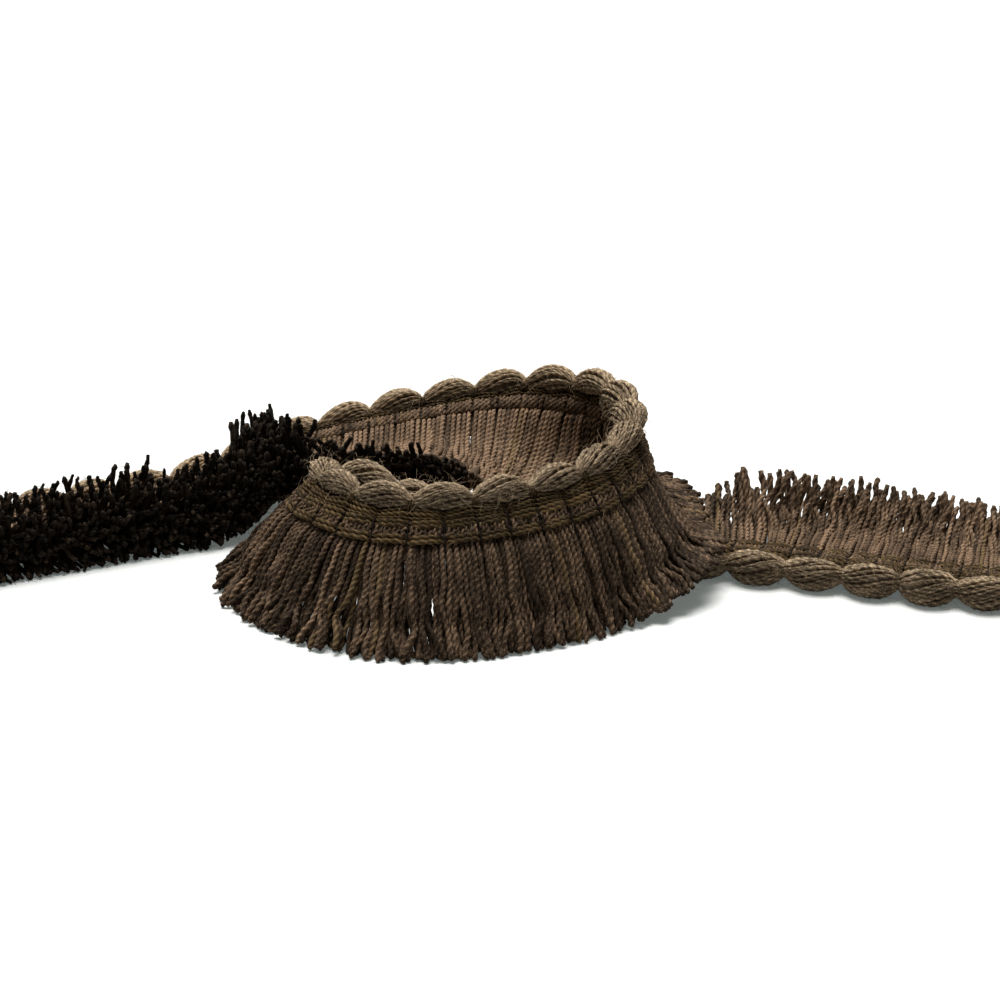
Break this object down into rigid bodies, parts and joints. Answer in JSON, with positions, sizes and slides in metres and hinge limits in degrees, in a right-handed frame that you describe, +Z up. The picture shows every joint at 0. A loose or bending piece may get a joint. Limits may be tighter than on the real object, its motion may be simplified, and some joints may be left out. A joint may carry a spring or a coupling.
{
  "type": "brush fringe trim",
  "caption": "Cut length of furnishing trim with a scalloped picot edge, a corded heading and a thick cut-yarn brush, lying in one open loop on its own brush.",
  "frame": {"origin": "middle of the whole part in plan, on the surface it lies on", "axes": "+X from the left end to the right end of the trim, +Y away from the viewer, +Z up"},
  "size_m": [0.2346, 0.0874, 0.0303],
  "materials": {
    "heading_yarn": "olive brown corded yarn",
    "picot_yarn": "grey-brown twisted yarn with a soft fuzz",
    "brush_yarn": "purple-brown two-ply yarn, cut"
  },
  "bodies": {
    "root": {"heading_band": "heading_yarn", "picot_edge": "picot_yarn", "brush_left_end": "brush_yarn", "brush_left_rise": "brush_yarn", "brush_back_left": "brush_yarn", "brush_back_right": "brush_yarn", "brush_turn_right": "brush_yarn", "brush_front_right": "brush_yarn", "brush_front_left": "brush_yarn", "brush_hairpin_front": "brush_yarn", "brush_hairpin_back": "brush_yarn", "brush_inside_loop": "brush_yarn", "brush_under_skirt": "brush_yarn", "brush_right_middle": "brush_yarn", "brush_right_end": "brush_yarn"}
  },
  "joints": []
}
